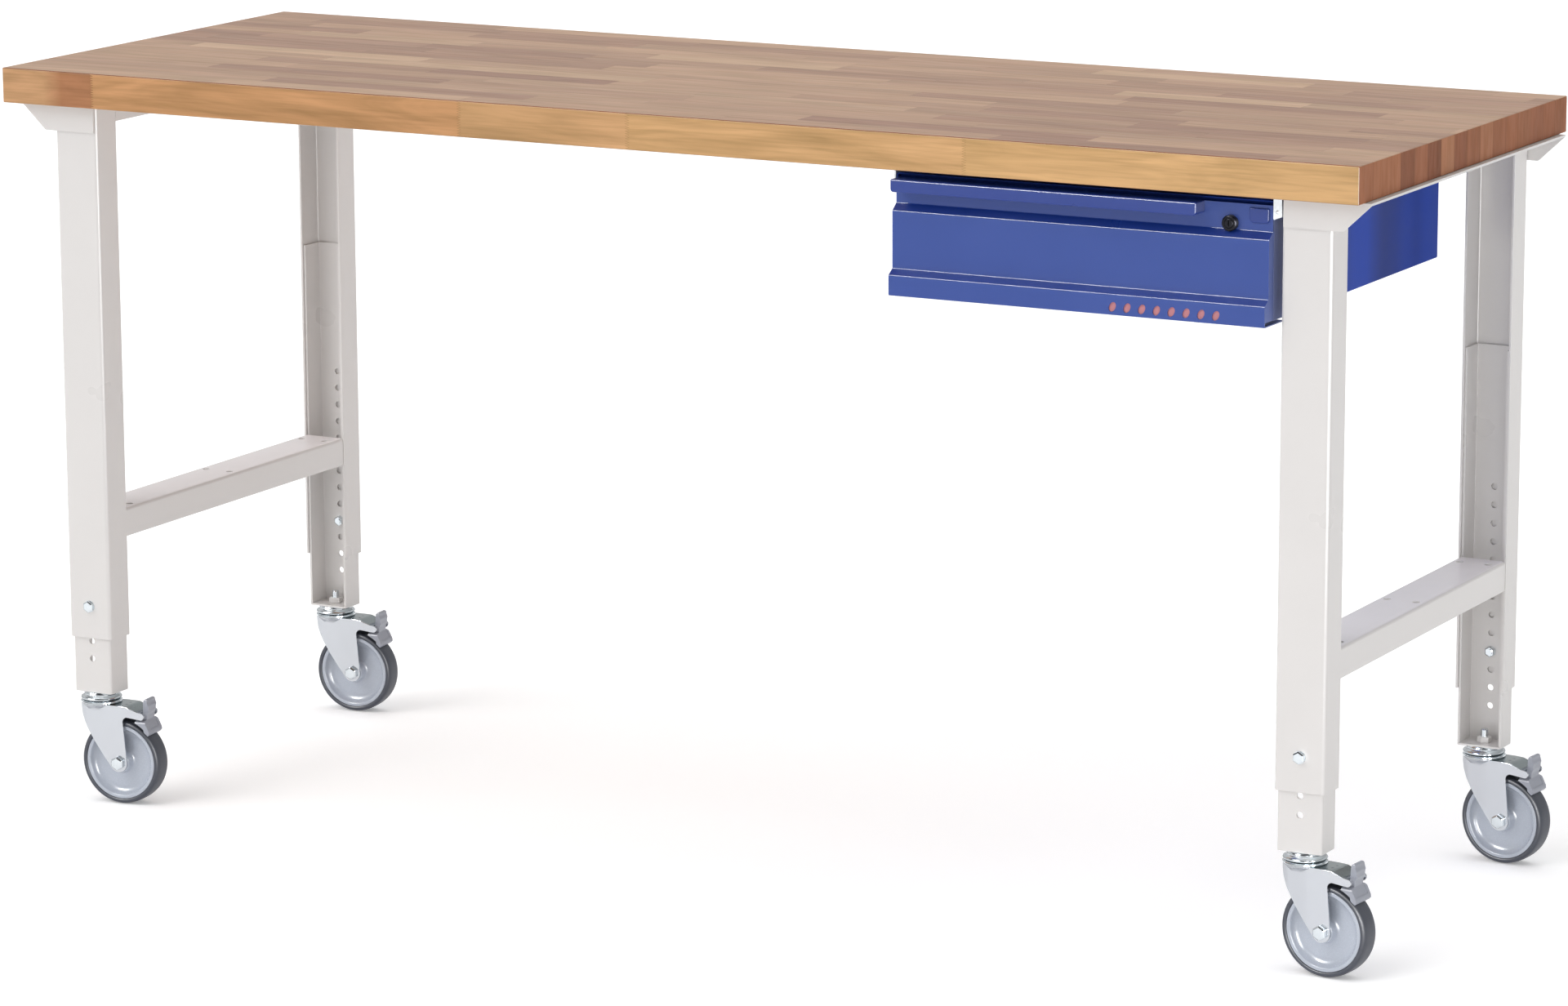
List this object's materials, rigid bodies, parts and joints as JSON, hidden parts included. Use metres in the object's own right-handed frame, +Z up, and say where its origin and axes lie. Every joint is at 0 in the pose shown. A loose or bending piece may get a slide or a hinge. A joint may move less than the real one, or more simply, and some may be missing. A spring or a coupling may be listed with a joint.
{
  "type": "mobile workbench with drawer",
  "caption": "Height-adjustable mobile workbench: thick beech top on two steel end frames with telescoping legs, braked swivel castors and a lockable drawer under one end.",
  "frame": {"origin": "on the floor, midway between the two end frames and between the front and rear legs", "axes": "+X along the bench to the right as seen from the front, +Y to the rear, +Z up"},
  "size_m": [2.0181, 0.7, 1.03],
  "materials": {
    "worktop": "oiled beech block board, satin",
    "frame_paint": "light grey powder coat, satin",
    "drawer_paint": "blue powder coat, satin",
    "bright_zinc": "bright zinc plate",
    "galvanised": "matt galvanised sheet",
    "lock_black": "black enamel",
    "wheel_plastic": "pale blue-grey moulded plastic",
    "tread": "dark grey thermoplastic rubber",
    "pedal_plastic": "mid grey moulded plastic"
  },
  "bodies": {
    "bench": {"worktop": "worktop", "left_crossbar": "frame_paint", "left_top_rail": "frame_paint", "left_hanger": "galvanised", "left_slide_fixed": "galvanised", "right_crossbar": "frame_paint", "right_top_rail": "frame_paint", "right_hanger": "galvanised", "right_slide_fixed": "galvanised", "front_left_outer_leg": "frame_paint", "front_left_height_bolt": "bright_zinc", "front_right_outer_leg": "frame_paint", "front_right_height_bolt": "bright_zinc", "rear_left_outer_leg": "frame_paint", "rear_left_height_bolt": "bright_zinc", "rear_right_outer_leg": "frame_paint", "rear_right_height_bolt": "bright_zinc", "drawer_housing": "drawer_paint"},
    "front_left_leg_extension": {"front_left_inner_leg": "frame_paint", "front_left_swivel_head": "bright_zinc", "front_left_stem_nut": "frame_paint"},
    "front_left_swivel": {"front_left_fork": "galvanised", "front_left_axle_bolt": "bright_zinc"},
    "front_left_wheel": {"front_left_wheel_centre": "wheel_plastic", "front_left_tyre": "tread"},
    "front_left_pedal": {"front_left_brake_pedal": "pedal_plastic"},
    "front_right_leg_extension": {"front_right_inner_leg": "frame_paint", "front_right_swivel_head": "bright_zinc", "front_right_stem_nut": "frame_paint"},
    "front_right_swivel": {"front_right_fork": "galvanised", "front_right_axle_bolt": "bright_zinc"},
    "front_right_wheel": {"front_right_wheel_centre": "wheel_plastic", "front_right_tyre": "tread"},
    "front_right_pedal": {"front_right_brake_pedal": "pedal_plastic"},
    "rear_left_leg_extension": {"rear_left_inner_leg": "frame_paint", "rear_left_swivel_head": "bright_zinc", "rear_left_stem_nut": "frame_paint"},
    "rear_left_swivel": {"rear_left_fork": "galvanised", "rear_left_axle_bolt": "bright_zinc"},
    "rear_left_wheel": {"rear_left_wheel_centre": "wheel_plastic", "rear_left_tyre": "tread"},
    "rear_left_pedal": {"rear_left_brake_pedal": "pedal_plastic"},
    "rear_right_leg_extension": {"rear_right_inner_leg": "frame_paint", "rear_right_swivel_head": "bright_zinc", "rear_right_stem_nut": "frame_paint"},
    "rear_right_swivel": {"rear_right_fork": "galvanised", "rear_right_axle_bolt": "bright_zinc"},
    "rear_right_wheel": {"rear_right_wheel_centre": "wheel_plastic", "rear_right_tyre": "tread"},
    "rear_right_pedal": {"rear_right_brake_pedal": "pedal_plastic"},
    "slide_middle": {"left_slide_middle": "galvanised", "right_slide_middle": "galvanised"},
    "drawer": {"drawer_body": "drawer_paint", "drawer_front": "drawer_paint", "left_slide_drawer": "galvanised", "right_slide_drawer": "galvanised", "lock_housing": "lock_black"},
    "lock": {"lock_plug": "lock_black", "lock_cam": "bright_zinc"}
  },
  "joints": [
    {"name": "front_left_leg_height", "type": "slide", "parent": "bench", "child": "front_left_leg_extension", "axis": [0, 0, 1], "range_m": [-0.225, 0.075]},
    {"name": "front_left_castor_swivel", "type": "hinge", "parent": "front_left_leg_extension", "child": "front_left_swivel", "pos_m": [-0.9105, -0.302, 0.15], "axis": [0, 0, 1], "continuous": true},
    {"name": "front_left_wheel_roll", "type": "hinge", "parent": "front_left_swivel", "child": "front_left_wheel", "pos_m": [-0.87569, -0.29834, 0.06], "axis": [-0.1045, 0.9945, 0], "continuous": true},
    {"name": "front_left_brake_release", "type": "hinge", "parent": "front_left_swivel", "child": "front_left_pedal", "pos_m": [-0.83939, -0.29453, 0.1288], "axis": [0.1045, -0.9945, 0], "range_deg": [0, 14]},
    {"name": "front_right_leg_height", "type": "slide", "parent": "bench", "child": "front_right_leg_extension", "axis": [0, 0, 1], "range_m": [-0.225, 0.075]},
    {"name": "front_right_castor_swivel", "type": "hinge", "parent": "front_right_leg_extension", "child": "front_right_swivel", "pos_m": [0.9105, -0.302, 0.15], "axis": [0, 0, 1], "continuous": true},
    {"name": "front_right_wheel_roll", "type": "hinge", "parent": "front_right_swivel", "child": "front_right_wheel", "pos_m": [0.94531, -0.30566, 0.06], "axis": [0.1045, 0.9945, 0], "continuous": true},
    {"name": "front_right_brake_release", "type": "hinge", "parent": "front_right_swivel", "child": "front_right_pedal", "pos_m": [0.98161, -0.30947, 0.1288], "axis": [-0.1045, -0.9945, 0], "range_deg": [0, 14]},
    {"name": "rear_left_leg_height", "type": "slide", "parent": "bench", "child": "rear_left_leg_extension", "axis": [0, 0, 1], "range_m": [-0.225, 0.075]},
    {"name": "rear_left_castor_swivel", "type": "hinge", "parent": "rear_left_leg_extension", "child": "rear_left_swivel", "pos_m": [-0.9105, 0.302, 0.15], "axis": [0, 0, 1], "continuous": true},
    {"name": "rear_left_wheel_roll", "type": "hinge", "parent": "rear_left_swivel", "child": "rear_left_wheel", "pos_m": [-0.87569, 0.30566, 0.06], "axis": [-0.1045, 0.9945, 0], "continuous": true},
    {"name": "rear_left_brake_release", "type": "hinge", "parent": "rear_left_swivel", "child": "rear_left_pedal", "pos_m": [-0.83939, 0.30947, 0.1288], "axis": [0.1045, -0.9945, 0], "range_deg": [0, 14]},
    {"name": "rear_right_leg_height", "type": "slide", "parent": "bench", "child": "rear_right_leg_extension", "axis": [0, 0, 1], "range_m": [-0.225, 0.075]},
    {"name": "rear_right_castor_swivel", "type": "hinge", "parent": "rear_right_leg_extension", "child": "rear_right_swivel", "pos_m": [0.9105, 0.302, 0.15], "axis": [0, 0, 1], "continuous": true},
    {"name": "rear_right_wheel_roll", "type": "hinge", "parent": "rear_right_swivel", "child": "rear_right_wheel", "pos_m": [0.94531, 0.29834, 0.06], "axis": [0.1045, 0.9945, 0], "continuous": true},
    {"name": "rear_right_brake_release", "type": "hinge", "parent": "rear_right_swivel", "child": "rear_right_pedal", "pos_m": [0.98161, 0.29453, 0.1288], "axis": [-0.1045, -0.9945, 0], "range_deg": [0, 14]},
    {"name": "drawer_travel", "type": "slide", "parent": "bench", "child": "drawer", "axis": [0, -1, 0], "range_m": [0, 0.45]},
    {"name": "slide_middle_travel", "type": "slide", "parent": "bench", "child": "slide_middle", "axis": [0, -1, 0], "range_m": [0, 0.225]},
    {"name": "lock_turn", "type": "hinge", "parent": "drawer", "child": "lock", "pos_m": [0.8085, -0.332, 0.945], "axis": [0, 1, 0], "range_deg": [0, 90]}
  ],
  "couplings": [
    {"joint": "slide_middle_travel", "follows": "drawer_travel", "ratio": 0.5}
  ]
}
